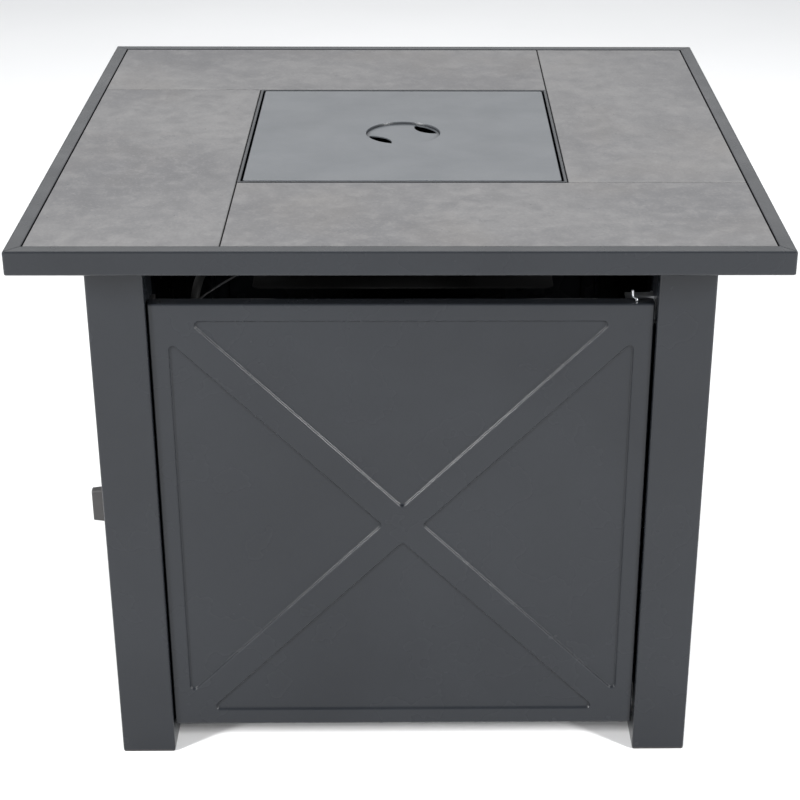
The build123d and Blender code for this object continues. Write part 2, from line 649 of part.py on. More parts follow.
def burner():
    """Ring burner with two arms, a hub and a threaded nipple through the pan."""
    bore = rod((0, 0, PAN_FLOOR - 10), (0, 0, BURNER_Z + RING_TUBE - 2), 8.0)
    hub = rod((0, 0, PAN_FLOOR + PAN_SHEET), (0, 0, BURNER_Z + RING_TUBE), 14.0)
    hub += rod((0, 0, PAN_FLOOR - 9), (0, 0, PAN_FLOOR + 5), NIPPLE_RADIUS)
    hub -= bore
    hub -= rod((-20, 0, BURNER_Z), (20, 0, BURNER_Z), ARM_RADIUS - PIPE_WALL)
    half = burner_half(bore)
    return hub + half + Rot(0, 0, 180) * half


def burner_locknut():
    """Nut under the pan that clamps the burner's nipple."""
    nut = hex_bar((0, 0, PAN_FLOOR - 7), (0, 0, PAN_FLOOR), 30)
    return nut - rod((0, 0, PAN_FLOOR - 8), (0, 0, PAN_FLOOR + 1), NIPPLE_RADIUS)


def burner_elbow():
    """Cast elbow between the mixer and the burner's nipple."""
    top = PAN_FLOOR - 9
    elbow = rod((0, 0, FEED_Z), (0, 0, top), ELBOW_RADIUS)
    elbow += rod((0, 0, FEED_Z), (-26, 0, FEED_Z), ELBOW_RADIUS)
    elbow += Pos(0, 0, FEED_Z) * Sphere(ELBOW_RADIUS)
    elbow -= rod((0, 0, FEED_Z), (0, 0, top + 1), 8.0)
    return elbow - rod((0, 0, FEED_Z), (-27, 0, FEED_Z), 8.0)


def mixer_tube():
    """Air mixer: a tube with a flared bell and two air windows."""
    tube = rod((-96, 0, FEED_Z), (-26, 0, FEED_Z), MIXER_RADIUS)
    bell = Pos(-91, 0, FEED_Z) * Rot(0, -90, 0) * Cone(MIXER_RADIUS, 14.0, 10.0)
    tube += bell
    tube -= rod((-97, 0, FEED_Z), (-25, 0, FEED_Z), 8.0)
    for sy in (-1, 1):
        tube -= block(-84, -66, sy * 4, sy * 20, FEED_Z - 3.5, FEED_Z + 3.5)
    return tube


def orifice_fitting():
    """Gas jet holder: plugs into the mixer's bell, takes the supply tube."""
    body = hex_bar((-112, 0, FEED_Z), (-96, 0, FEED_Z), 22)
    body += rod((-96, 0, FEED_Z), (-88, 0, FEED_Z), 8.0)
    body -= rod((-113, 0, FEED_Z), (-104, 0, FEED_Z), SUPPLY_RADIUS)
    return body - rod((-106, 0, FEED_Z), (-87, 0, FEED_Z), 0.9)


def heat_shield():
    """Plate over the gas cylinder, hung from the pan's floor by four tabs."""
    shield = square_plate(SHIELD_HALF, SHIELD_Z, SHIELD_Z + 1, 8.0)
    for sx in (-1, 1):
        for sy in (-1, 1):
            x0 = sx * 40
            x1 = sx * 80
            y0 = sy * 130
            y1 = sy * 131.5
            shield += block(x0, x1, y0, y1, SHIELD_Z, PAN_FLOOR)
            shield += block(x0, x1, sy * 120, y1, PAN_FLOOR - 1.5, PAN_FLOOR)
    return shield


def electrode():
    """Spark electrode: a ceramic body and a bent wire over the ring."""
    x = ELECTRODE_X
    y = ELECTRODE_Y
    body = rod((x, y, 540), (x, y, 570), ELECTRODE_RADIUS)
    collar = rod((x, y, 549.5), (x, y, 553), ELECTRODE_RADIUS + 1.5)
    points = [(x, y, 568), (x, y, 577), (x + 10, y + 10, 578)]
    return body + collar + tube_along(points, [3.0], 0.9)


def electrode_bracket():
    """Plate on the pan's floor that holds the electrode's collar."""
    x = ELECTRODE_X
    y = ELECTRODE_Y
    low = PAN_FLOOR + PAN_SHEET
    plate = block(x - 10, x + 10, y - 20, y + 10, low, low + 1.2)
    post = block(x - 10, x + 10, y - 20, y - 18.8, low, 549.5)
    shelf = block(x - 10, x + 10, y - 20, y + 8, 548.3, 549.5)
    bracket = plate + post + shelf
    return bracket - rod((x, y, low - 1), (x, y, 552), ELECTRODE_RADIUS)


# --------------------------------------------------------------------- gas train
def control_plate():
    """Cover plate on the left panel round the knob and the igniter."""
    z0 = KNOB_Z - 38
    z1 = IGNITER_Z + 36
    plate = block(-PLATE_FACE, -POCKET_FACE, CONTROL_Y - 32, CONTROL_Y + 32, z0, z1)
    plate = fillet(plate.edges().filter_by(Axis.X), 8)
    plate = fillet(plate.faces().sort_by(Axis.X)[0].edges(), 0.6)
    plate -= rod((-330, CONTROL_Y, KNOB_Z), (-300, CONTROL_Y, KNOB_Z), 6.0)
    plate -= rod((-330, CONTROL_Y, IGNITER_Z), (-300, CONTROL_Y, IGNITER_Z), 10.2)
    for seat, _ in control_screw_seats():
        plate -= rod((-330, seat[1], seat[2]), (-300, seat[1], seat[2]), SCREW_RADIUS)
    return plate


def valve_bracket():
    """Plate behind the left panel that the valve's bonnet is clamped to."""
    front = -POCKET_FACE + PANEL_SHEET
    plate = block(front, front + 1.5, CONTROL_Y - 32, CONTROL_Y + 32, KNOB_Z - 38, KNOB_Z + 32)
    plate += block(front, front + 30, CONTROL_Y + 30.5, CONTROL_Y + 32, KNOB_Z - 20, KNOB_Z + 20)
    plate -= rod((-330, CONTROL_Y, KNOB_Z), (-290, CONTROL_Y, KNOB_Z), BONNET_RADIUS)
    for seat, _ in control_screw_seats():
        plate -= rod((-330, seat[1], seat[2]), (-303, seat[1], seat[2]), SCREW_RADIUS)
    return plate


def valve_bonnet():
    """Bonnet of the valve: it houses the push spring and guides the stem."""
    hex_face = -POCKET_FACE + PANEL_SHEET + 1.5
    bonnet = rod((-POCKET_FACE, CONTROL_Y, KNOB_Z), (hex_face, CONTROL_Y, KNOB_Z), BONNET_RADIUS)
    bonnet += hex_bar((hex_face, CONTROL_Y, KNOB_Z), (-VALVE_FRONT, CONTROL_Y, KNOB_Z), 28)
    bonnet -= rod((-POCKET_FACE + 1.5, CONTROL_Y, KNOB_Z), (-VALVE_FRONT + 1, CONTROL_Y, KNOB_Z), BONNET_BORE)
    return bonnet - rod((-330, CONTROL_Y, KNOB_Z), (-VALVE_FRONT, CONTROL_Y, KNOB_Z), STEM_RADIUS + 0.3)


def valve_body():
    """Brass valve block with a blind bore for the stem and ports for gas."""
    y = CONTROL_Y
    body = block(-VALVE_FRONT, -VALVE_BACK, y - 15, y + 15, KNOB_Z - 18, KNOB_Z + 18)
    body = chamfer(body.edges().filter_by(Axis.X), 2.5)
    body += rod((-VALVE_BACK, y, KNOB_Z), (-VALVE_BACK + 10, y, KNOB_Z), 8.0)
    body -= rod((-VALVE_FRONT - 1, y, KNOB_Z), (-VALVE_FRONT + 12, y, KNOB_Z), STEM_RADIUS + 0.3)
    body -= rod((-VALVE_BACK - 4, y, KNOB_Z), (-VALVE_BACK + 11, y, KNOB_Z), SUPPLY_RADIUS)
    return body - rod((-279, y, KNOB_Z - 19), (-279, y, KNOB_Z - 8), 5.0)


def inlet_fitting():
    """Flare fitting under the valve, where the gas hose is screwed on."""
    top = KNOB_Z - 18
    fitting = rod((-279, CONTROL_Y, top + 9), (-279, CONTROL_Y, top), 5.0)
    fitting += hex_bar((-279, CONTROL_Y, top), (-279, CONTROL_Y, top - 8), 22)
    fitting += rod((-279, CONTROL_Y, top - 8), (-279, CONTROL_Y, top - 24), INLET_RADIUS)
    fitting = chamfer(fitting.edges().group_by(Axis.Z)[0], 2.0)
    return fitting - rod((-279, CONTROL_Y, top + 10), (-279, CONTROL_Y, top - 25), 3.0)


def supply_tube():
    """Aluminium tube from the valve up and across to the jet holder."""
    points = [
        (-VALVE_BACK - 4, CONTROL_Y, KNOB_Z),
        (-225, CONTROL_Y, KNOB_Z),
        (-225, CONTROL_Y, FEED_Z),
        (-190, 0, FEED_Z),
        (-104, 0, FEED_Z),
    ]
    return tube_along(points, [18, 40, 45], SUPPLY_RADIUS)


def stem_collar():
    """Sliding collar that the push spring bears on."""
    x = -POCKET_FACE + 1.7
    disc = rod((x, CONTROL_Y, KNOB_Z), (x + 2, CONTROL_Y, KNOB_Z), BONNET_BORE - 0.3)
    return disc - rod((x - 1, CONTROL_Y, KNOB_Z), (x + 3, CONTROL_Y, KNOB_Z), STEM_RADIUS + STEM_CLEARANCE)


def stem_spring():
    """Push spring between the collar and the valve block."""
    wire = 0.7
    low = -POCKET_FACE + 3.7 + wire
    high = -VALVE_FRONT - wire - 0.05
    coil = Helix(pitch=2.4, height=high - low, radius=6.2)
    section = Plane(coil @ 0, z_dir=coil % 0) * Circle(wire)
    spring = sweep(section, path=coil, is_frenet=True)
    return Pos(low, CONTROL_Y, KNOB_Z) * (Rot(0, 90, 0) * spring)


def valve_stem():
    """Stem that the knob turns."""
    return rod((-338, CONTROL_Y, KNOB_Z), (-VALVE_FRONT + 4, CONTROL_Y, KNOB_Z), STEM_RADIUS)


def control_knob():
    """Round skirted knob with a tall upright grip bar."""
    depth = KNOB_FACE - KNOB_BACK
    profile = [(0, 0), (24, 0), (24, 2.5), (20.5, 9), (19, 10.5), (0, 10.5)]
    skirt = revolve(make_face(Polyline(*profile, close=True)), Axis.Y)
    skirt = fillet(skirt.edges().group_by(Axis.Y)[-1], 1.2)
    base = Pos(0, 0, 4) * RectangleRounded(13.5, GRIP_BASE, 4.0)
    end = Pos(0, 0, depth) * RectangleRounded(11.5, GRIP_END, 4.0)
    bar = Rot(-90, 0, 0) * loft([base.face(), end.face()])
    bar = fillet(bar.faces().sort_by(Axis.Y)[-1].edges(), 1.2)
    knob = Rot(0, 0, 90) * (skirt + bar)
    knob = Pos(-KNOB_BACK, CONTROL_Y, KNOB_Z) * knob
    bore = rod((-KNOB_BACK + 1, CONTROL_Y, KNOB_Z), (-338, CONTROL_Y, KNOB_Z), STEM_RADIUS)
    groove = block(-KNOB_FACE - 1, -KNOB_FACE + 0.8, CONTROL_Y - 0.9, CONTROL_Y + 0.9, KNOB_Z + 3, KNOB_Z + 17)
    return knob - bore - groove


def igniter_body():
    """Push-button piezo igniter: a flanged barrel with the button's bore."""
    face = -PLATE_FACE
    body = rod((face - 2, CONTROL_Y, IGNITER_Z), (face, CONTROL_Y, IGNITER_Z), 13.0)
    body = fillet(body.edges().group_by(Axis.X)[0], 1.0)
    body += rod((face, CONTROL_Y, IGNITER_Z), (-268, CONTROL_Y, IGNITER_Z), 10.0)
    return body - rod((face - 3, CONTROL_Y, IGNITER_Z), (-297, CONTROL_Y, IGNITER_Z), 7.8)


def igniter_nut():
    """Nut that clamps the igniter from inside."""
    front = -POCKET_FACE + PANEL_SHEET
    nut = hex_bar((front, CONTROL_Y, IGNITER_Z), (front + 5, CONTROL_Y, IGNITER_Z), 26)
    return nut - rod((front - 1, CONTROL_Y, IGNITER_Z), (front + 6, CONTROL_Y, IGNITER_Z), 10.0)


def igniter_button():
    """Round push button with a softly domed face."""
    button = rod((-PLATE_FACE - 10, CONTROL_Y, IGNITER_Z), (-305, CONTROL_Y, IGNITER_Z), 7.5)
    return fillet(button.edges().group_by(Axis.X)[0], 1.5)


def igniter_lead():
    """High-voltage wire from the igniter to the electrode under the pan."""
    points = [
        (-268, CONTROL_Y, IGNITER_Z),
        (-243, CONTROL_Y, IGNITER_Z),
        (-243, CONTROL_Y, 490),
        (-170, -150, 522),
        (ELECTRODE_X, ELECTRODE_Y, 522),
        (ELECTRODE_X, ELECTRODE_Y, 540),
    ]
    radii = [bend_radius(*points[i - 1:i + 2]) for i in range(1, len(points) - 1)]
    print("igniter lead bend radii", [round(r, 1) for r in radii])
    return tube_along(points, radii, 1.25)


def screws():
    """Every small button-head screw of the table."""
    seats = panel_screw_seats() + ear_screw_seats() + catch_screw_seats()
    seats += bracket_screw_seats() + control_screw_seats()
    return group(button_screw(seat, direction) for seat, direction in seats)


# ------------------------------------------------------------------ write nodes
for corner_name, corner_x, corner_y in CORNERS:
    save(f"leg_{corner_name}", leg_post(corner_x, corner_y))
save("foot_caps", group(foot_cap(sx, sy) for _, sx, sy in CORNERS))
save("leg_plates", group(leg_plate(sx, sy) for _, sx, sy in CORNERS))
save("leg_bolts", leg_bolts())

for side_name, side_turn in SIDES:
    save(f"top_rail_{side_name}", Rot(0, 0, side_turn) * top_rail())
    save(f"tile_{side_name}", Rot(0, 0, side_turn + 180) * tile())
save("tile_tray", tile_tray())
save("opening_trim", opening_trim())
bolt_places = [sx * LEG_CENTRE + dx for sx in (-1, 1) for dx in (-BOLT_OFFSET, BOLT_OFFSET)]
long_channel = channel(2 * (TOP_HALF - 4), bolt_places)
short_channel = channel(2 * (LEG_CENTRE - 21), [])
save("channel_front", Pos(0, -LEG_CENTRE, 0) * long_channel)
save("channel_back", Pos(0, LEG_CENTRE, 0) * long_channel)
save("channel_left", Pos(-230, 0, 0) * (Rot(0, 0, 90) * short_channel))
save("channel_right", Pos(230, 0, 0) * (Rot(0, 0, 90) * short_channel))
save("lid", lid())

save("panel_left", left_panel())
save("panel_right", drill_panel(Rot(0, 0, 90) * fixed_panel()))
save("panel_back", drill_panel(Rot(0, 0, 180) * fixed_panel()))
save("door_panel", door_panel())
ear_top = hinge_ear(EAR_TOP_Z - EAR_SHEET, False)
ear_bottom = hinge_ear(EAR_LOW_Z, True)
save("hinge_ears", group([ear_top, ear_bottom]))
save("hinge_washer", hinge_washer())
save("hinge_pin_top", hinge_pin_top())
save("hinge_pin_bottom", hinge_pin_bottom())
save("door_catch", door_catch())
save("strike_plate", strike_plate())

save("base_tray", base_tray())
save("tank_ring", tank_ring())
save("tray_brackets", tray_brackets())

save("burner_pan", burner_pan())
save("burner", burner())
save("burner_locknut", burner_locknut())
save("burner_elbow", burner_elbow())
save("mixer_tube", mixer_tube())
save("orifice_fitting", orifice_fitting())
save("heat_shield", heat_shield())
save("electrode", electrode())
save("electrode_bracket", electrode_bracket())

save("control_plate", control_plate())
save("valve_bracket", valve_bracket())
save("valve_bonnet", valve_bonnet())
save("valve_body", valve_body())
save("inlet_fitting", inlet_fitting())
save("supply_tube", supply_tube())
save("stem_collar", stem_collar())
save("stem_spring", stem_spring())
save("valve_stem", valve_stem())
save("control_knob", control_knob())
save("igniter_body", igniter_body())
save("igniter_nut", igniter_nut())
save("igniter_button", igniter_button())
save("igniter_lead", igniter_lead())
save("screws", screws())
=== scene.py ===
"""Looks for the gas fire pit table: materials, floor, studio light and camera."""

import json
import math

import bpy
from mathutils import Matrix, Vector

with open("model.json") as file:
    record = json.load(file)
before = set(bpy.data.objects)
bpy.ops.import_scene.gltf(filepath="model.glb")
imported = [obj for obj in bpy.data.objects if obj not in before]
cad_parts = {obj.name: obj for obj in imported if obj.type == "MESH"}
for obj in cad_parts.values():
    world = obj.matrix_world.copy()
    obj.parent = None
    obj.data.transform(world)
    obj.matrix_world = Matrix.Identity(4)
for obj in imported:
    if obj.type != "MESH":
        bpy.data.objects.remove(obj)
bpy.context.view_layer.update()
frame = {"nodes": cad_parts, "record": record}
nodes = frame["nodes"]

# Lengths are in metres, light powers in watts and colours linear.
EDGE_SAMPLES = 6                        # rays for each rounded edge
PAINTED_SHADE_SAMPLES = 6                     # rays for the painted shade in each corner
EDGE_START, EDGE_FULL = 0.02, 0.25      # how far a normal leans before it counts as an edge

FLOOR_HALF_WIDTH = 14.0
FLOOR_DROP = 0.0004                     # below the feet, so the two faces never coincide
FLOOR_TONES = (0.82, 0.82, 0.82), (0.84, 0.84, 0.84)

SKY_TINT = (0.93, 0.96, 1.0)
SKY_STRENGTH = 0.41

STRIP_SIZE = (0.4, 1.0)
STRIP_TARGET = (0, -0.3, 0.3)
LIGHTS = {
    # name: (place, target, size, power)
    "overhead": ((0.0, 0.5, 3.2), (0, 0, 0.5), (3.2, 2.6), 82),
    "behind": ((0.0, 4.0, 2.5), (0, 0, 0.6), (4.5, 1.8), 26),
    "left_strip": ((-2.6, -2.0, 1.6), STRIP_TARGET, STRIP_SIZE, 195),
    "right_strip": ((2.6, -2.0, 1.6), STRIP_TARGET, STRIP_SIZE, 182),
}

SENSOR_WIDTH = 36                       # mm


def shade(tint, scale, lift=0.0):
    """A lighter or darker version of a colour."""
    return tuple(min(1.0, c * scale + lift) for c in tint)


# ------------------------------------------------------------------ shader kit
class Shader:
    """A material built from a few small blocks."""

    def __init__(self, name):
        self.material = bpy.data.materials.new(name)
        self.material.use_nodes = True
        self.tree = self.material.node_tree
        self.tree.nodes.clear()
        self.out = self.node("ShaderNodeOutputMaterial")
        self.surface = self.node("ShaderNodeBsdfPrincipled")
        self.link(self.surface.outputs["BSDF"], self.out.inputs["Surface"])
        self.place = self.node("ShaderNodeTexCoord").outputs["Object"]

    def node(self, kind, **settings):
        made = self.tree.nodes.new(kind)
        for key, value in settings.items():
            setattr(made, key, value)
        return made

    def link(self, start, end):
        self.tree.links.new(start, end)

    def put(self, socket, value):
        """Link an output, or set a plain value."""
        if isinstance(value, bpy.types.NodeSocket):
            self.link(value, socket)
        else:
            socket.default_value = value

    def moved(self, scale=(1, 1, 1), turn=(0, 0, 0), shift=(0, 0, 0)):
        """The surface position, stretched, turned and shifted."""
        mapping = self.node("ShaderNodeMapping")
        self.link(self.place, mapping.inputs["Vector"])
        mapping.inputs["Scale"].default_value = scale
        mapping.inputs["Rotation"].default_value = turn
        mapping.inputs["Location"].default_value = shift
        return mapping.outputs["Vector"]

    def noise(self, scale, detail, rough=0.5, warp=0.0, where=None):
        """Cloudy noise, with scale cells to the metre."""
        made = self.node("ShaderNodeTexNoise")
        self.link(where or self.place, made.inputs["Vector"])
        made.inputs["Scale"].default_value = scale
        made.inputs["Detail"].default_value = detail
        made.inputs["Roughness"].default_value = rough
        made.inputs["Distortion"].default_value = warp
        return made.outputs["Fac"]

    def cells(self, scale, where=None, out="Distance"):
        """Voronoi cells, with scale cells to the metre."""
        made = self.node("ShaderNodeTexVoronoi", feature="F1")
        self.link(where or self.place, made.inputs["Vector"])
        made.inputs["Scale"].default_value = scale
        return made.outputs[out]

    def fit(self, value, low, high, to_low=0.0, to_high=1.0):
        """Map low..high onto to_low..to_high, with both ends held."""
        made = self.node("ShaderNodeMapRange", clamp=True)
        self.put(made.inputs["Value"], value)
        made.inputs["From Min"].default_value = low
        made.inputs["From Max"].default_value = high
        made.inputs["To Min"].default_value = to_low
        made.inputs["To Max"].default_value = to_high
        return made.outputs["Result"]

    def math(self, kind, a, b):
        made = self.node("ShaderNodeMath", operation=kind)
        self.put(made.inputs[0], a)
        self.put(made.inputs[1], b)
        return made.outputs[0]

    def times(self, a, b):
        return self.math("MULTIPLY", a, b)

    def inverse(self, value):
        return self.math("SUBTRACT", 1.0, value)

    def blend(self, a, b):
        """Three parts of one mask and two of another."""
        return self.math("ADD", self.times(a, 0.6), self.times(b, 0.4))

    def mix(self, factor, a, b):
        """Mix two colours."""
        made = self.node("ShaderNodeMix", data_type="RGBA")
        self.put(made.inputs[0], factor)
        self.put(made.inputs[6], a if isinstance(a, bpy.types.NodeSocket) else (*a, 1.0))
        self.put(made.inputs[7], b if isinstance(b, bpy.types.NodeSocket) else (*b, 1.0))
        return made.outputs[2]

    def layer(self, colour, mask, span, most, over):
        """Lay a second colour over the first, from none to most as the mask crosses its span."""
        return self.mix(self.fit(mask, *span, 0, most), colour, over)

    def soft_edges(self, radius):
        """A normal rounded over the sharp edges."""
        made = self.node("ShaderNodeBevel", samples=EDGE_SAMPLES)
        made.inputs["Radius"].default_value = radius
        return made.outputs["Normal"]

    def painted_shade(self, reach, low, high):
        """Painted shade from ambient occlusion: 0 deep in a corner or a gap, 1 in the open."""
        made = self.node("ShaderNodeAmbientOcclusion", samples=PAINTED_SHADE_SAMPLES)
        made.inputs["Distance"].default_value = reach
        return self.fit(made.outputs["AO"], low, high)

    def edge_mask(self, rounded):
        """1 on sharp edges, 0 on flats."""
        flat = self.node("ShaderNodeNewGeometry").outputs["Normal"]
        dot = self.node("ShaderNodeVectorMath", operation="DOT_PRODUCT")
        self.link(rounded, dot.inputs[0])
        self.link(flat, dot.inputs[1])
        return self.fit(self.inverse(dot.outputs["Value"]), EDGE_START, EDGE_FULL)

    def bump(self, height, depth, strength, normal=None):
        made = self.node("ShaderNodeBump")
        self.link(height, made.inputs["Height"])
        made.inputs["Distance"].default_value = depth
        made.inputs["Strength"].default_value = strength
        if normal is not None:
            self.link(normal, made.inputs["Normal"])
        return made.outputs["Normal"]

    def finish(self, **values):
        """Set the surface's inputs and hand the material over."""
        for key, value in values.items():
            socket = self.surface.inputs[key.replace("_", " ")]
            self.put(socket, value)
        return self.material


# ------------------------------------------------------------------- materials
def powder_coat(name, tint, light, rough, shine=0.25, soft=0.0020,
                gap=(0.004, 0.35, 0.85), cloud=0.5, edge=0.35):
    """Baked powder coat: fine orange peel, faint clouds, edges a little lighter as rubbed wear and
    painted highlight.

    soft is the edge radius, gap the reach and limits of the painted shade in corners, cloud the
    width of the band the clouds fade across and edge the strength of the lighter edges, partly
    rubbed wear and partly painted highlight.
    """
    s = Shader(name)
    rounded = s.soft_edges(soft)
    clouds = s.noise(3.5, detail=4, rough=0.55, warp=0.4)
    patches = s.noise(16, detail=3)
    specks = s.noise(620, detail=2, rough=0.6)
    colour = s.mix(s.fit(clouds, 0.5 - cloud * 0.4, 0.5 + cloud * 0.4), tint, light)
    colour = s.layer(colour, specks, (0.60, 0.74), 0.28, shade(tint, 1.9))
    colour = s.layer(colour, specks, (0.40, 0.26), 0.3, shade(tint, 0.55))
    # Lighter edges: partly rubbed wear, partly painted highlight on the bends.
    wear_and_highlight = s.times(s.edge_mask(rounded), s.fit(patches, 0.35, 0.7, to_low=0.25))
    colour = s.mix(s.times(wear_and_highlight, edge), colour, shade(light, 2.2))
    gloss = s.fit(s.blend(patches, clouds), 0.35, 0.65, rough - 0.05, rough + 0.06)
    # Painted shade: darker colour and less reflection deep in corners and gaps.
    unshaded = s.painted_shade(*gap)
    colour = s.mix(unshaded, shade(tint, 0.12), colour)
    relief = s.bump(s.noise(420, detail=2), 0.00012, 0.55, rounded)
    relief = s.bump(s.noise(90, detail=2, rough=0.45), 0.00010, 0.35, relief)
    return s.finish(Base_Color=colour, Roughness=gloss, Normal=relief,
                    Specular_IOR_Level=s.times(unshaded, shine))


def concrete_tile(name, shift, turn):
    """Porcelain tile printed and pressed like fine concrete."""
    s = Shader(name)
    turn = (0, 0, turn)
    where = s.moved(turn=turn, shift=shift)
    along = s.moved(scale=(0.25, 1.0, 1.0), turn=turn, shift=shift)
    aside = s.moved(turn=turn, shift=(shift[0] + 3.1, shift[1], 0.7))
    rounded = s.soft_edges(0.0008)
    clouds = s.noise(4.5, detail=4, rough=0.55, warp=0.4, where=where)
    mottle = s.noise(46, detail=6, rough=0.70, warp=0.3, where=where)
    grain = s.noise(330, detail=3, rough=0.6, where=where)
    streaks = s.noise(26, detail=4, rough=0.65, warp=0.3, where=along)
    warm = s.noise(5.2, detail=3, rough=0.55, warp=0.3, where=aside)
    colour = s.mix(s.fit(clouds, 0.34, 0.66), (0.086, 0.085, 0.088), (0.124, 0.122, 0.122))
    for mask, span, most, over in (
            (mottle, (0.50, 0.66), 0.42, (0.165, 0.162, 0.160)),
            (mottle, (0.50, 0.34), 0.42, (0.058, 0.058, 0.060)),
            (streaks, (0.55, 0.78), 0.25, (0.091, 0.089, 0.090)),
            (warm, (0.54, 0.76), 0.30, (0.126, 0.113, 0.099)),
            (grain, (0.55, 0.78), 0.32, (0.202, 0.198, 0.193)),
            (grain, (0.44, 0.24), 0.34, (0.055, 0.055, 0.057))):
        colour = s.layer(colour, mask, span, most, over)
    pits = s.cells(150, where=where)
    rare = s.noise(55, detail=1, where=where)
    pit = s.times(s.fit(pits, 0.16, 0.05), s.fit(rare, 0.60, 0.66))
    colour = s.mix(s.times(pit, 0.7), colour, (0.038, 0.037, 0.036))
    colour = s.mix(s.times(s.edge_mask(rounded), 0.6), colour, (0.045, 0.044, 0.043))
    # Painted shade: darker colour and less reflection in the corners and gaps at the tile's edges.
    unshaded = s.painted_shade(0.003, 0.55, 0.92)
    colour = s.mix(unshaded, (0.020, 0.020, 0.020), colour)
    relief = s.bump(grain, 0.00010, 0.6, rounded)
    relief = s.bump(mottle, 0.00025, 0.35, relief)
    relief = s.bump(s.inverse(pit), 0.0004, 0.7, relief)
    return s.finish(Base_Color=colour, Roughness=s.fit(mottle, 0.35, 0.65, 0.54, 0.66),
                    Normal=relief, Specular_IOR_Level=s.times(unshaded, 0.5))


def galvanised(name, tint):
    """Zinc-plated sheet with its broad crystals."""
    s = Shader(name)
    rounded = s.soft_edges(0.0008)
    split = s.node("ShaderNodeSeparateColor")
    s.link(s.cells(95, out="Color"), split.inputs["Color"])
    crystal = split.outputs["Red"]
    dull = s.noise(30, detail=4, rough=0.6)
    colour = s.mix(s.fit(crystal, 0.0, 1.0, 0.1, 0.9), tint, shade(tint, 1.55))
    colour = s.layer(colour, dull, (0.55, 0.75), 0.5, shade(tint, 0.6))
    relief = s.bump(s.noise(300, detail=2), 0.00006, 0.4, rounded)
    return s.finish(Base_Color=colour, Metallic=1.0, Normal=relief,
                    Roughness=s.fit(crystal, 0.0, 1.0, 0.28, 0.46))


def brushed(name, tint, rough=0.28, stretch=(0.03, 1.0, 1.0)):
    """Brushed or drawn bare metal, with light handling marks."""
    s = Shader(name)
    rounded = s.soft_edges(0.0006)
    lines = s.noise(900, detail=3, rough=0.6, where=s.moved(scale=stretch))
    smear = s.noise(28, detail=4, rough=0.6, warp=0.5)
    colour = s.mix(s.fit(lines, 0.3, 0.7), shade(tint, 0.72), tint)
    colour = s.layer(colour, smear, (0.55, 0.8), 0.45, shade(tint, 0.55))
    # Lighter edges: painted highlight on the rounded edges.
    colour = s.mix(s.times(s.edge_mask(rounded), 0.4), colour, shade(tint, 1.4))
    gloss = s.fit(s.blend(lines, smear), 0.3, 0.7, rough - 0.08, rough + 0.14)
    relief = s.bump(lines, 0.00004, 0.5, rounded)
    return s.finish(Base_Color=colour, Metallic=1.0, Roughness=gloss, Normal=relief)


def moulded(name, tint, rough=0.42, grain=1.0):
    """Moulded plastic or rubber with a fine spark-eroded grain."""
    s = Shader(name)
    rounded = s.soft_edges(0.0008)
    texture = s.cells(900)
    dust = s.noise(45, detail=4, rough=0.6, warp=0.4)
    colour = s.layer(tint, dust, (0.52, 0.75), 0.5, shade(tint, 1.6, lift=0.012))
    # Lighter edges: painted highlight on the rounded edges.
    colour = s.mix(s.times(s.edge_mask(rounded), 0.4), colour, shade(tint, 2.0, lift=0.02))
    gloss = s.fit(dust, 0.35, 0.7, rough - 0.05, rough + 0.12)
    relief = s.bump(texture, 0.00008, 0.45 * grain, rounded)
    relief = s.bump(s.noise(160, detail=2), 0.00005, 0.4, relief)
    return s.finish(Base_Color=colour, Roughness=gloss, Normal=relief)


def cast(name, tint):
    """Rough cast iron with a sandy skin and a little rust."""
    s = Shader(name)
    rounded = s.soft_edges(0.0012)
    sand = s.noise(520, detail=4, rough=0.7)
    lumps = s.noise(110, detail=3, rough=0.6)
    rust = s.noise(38, detail=5, rough=0.65, warp=0.6)
    colour = s.mix(s.fit(sand, 0.35, 0.7), shade(tint, 0.6), tint)
    colour = s.layer(colour, rust, (0.60, 0.78), 0.45, (0.14, 0.06, 0.03))
    relief = s.bump(sand, 0.00035, 0.8, rounded)
    relief = s.bump(lumps, 0.0005, 0.5, relief)
    return s.finish(Base_Color=colour, Metallic=0.55, Normal=relief,
                    Roughness=s.fit(sand, 0.3, 0.7, 0.55, 0.8))


def glazed_white(name):
    """White electrode ceramic, a little sooty."""
    s = Shader(name)
    soot = s.noise(150, detail=4, rough=0.6, warp=0.3)
    fine = s.noise(800, detail=2)
    colour = s.mix(s.fit(fine, 0.3, 0.7), (0.72, 0.69, 0.62), (0.83, 0.81, 0.76))
    colour = s.layer(colour, soot, (0.55, 0.8), 0.6, (0.25, 0.22, 0.19))
    return s.finish(Base_Color=colour, Normal=s.bump(fine, 0.00004, 0.4),
                    Roughness=s.fit(soot, 0.3, 0.7, 0.22, 0.45))


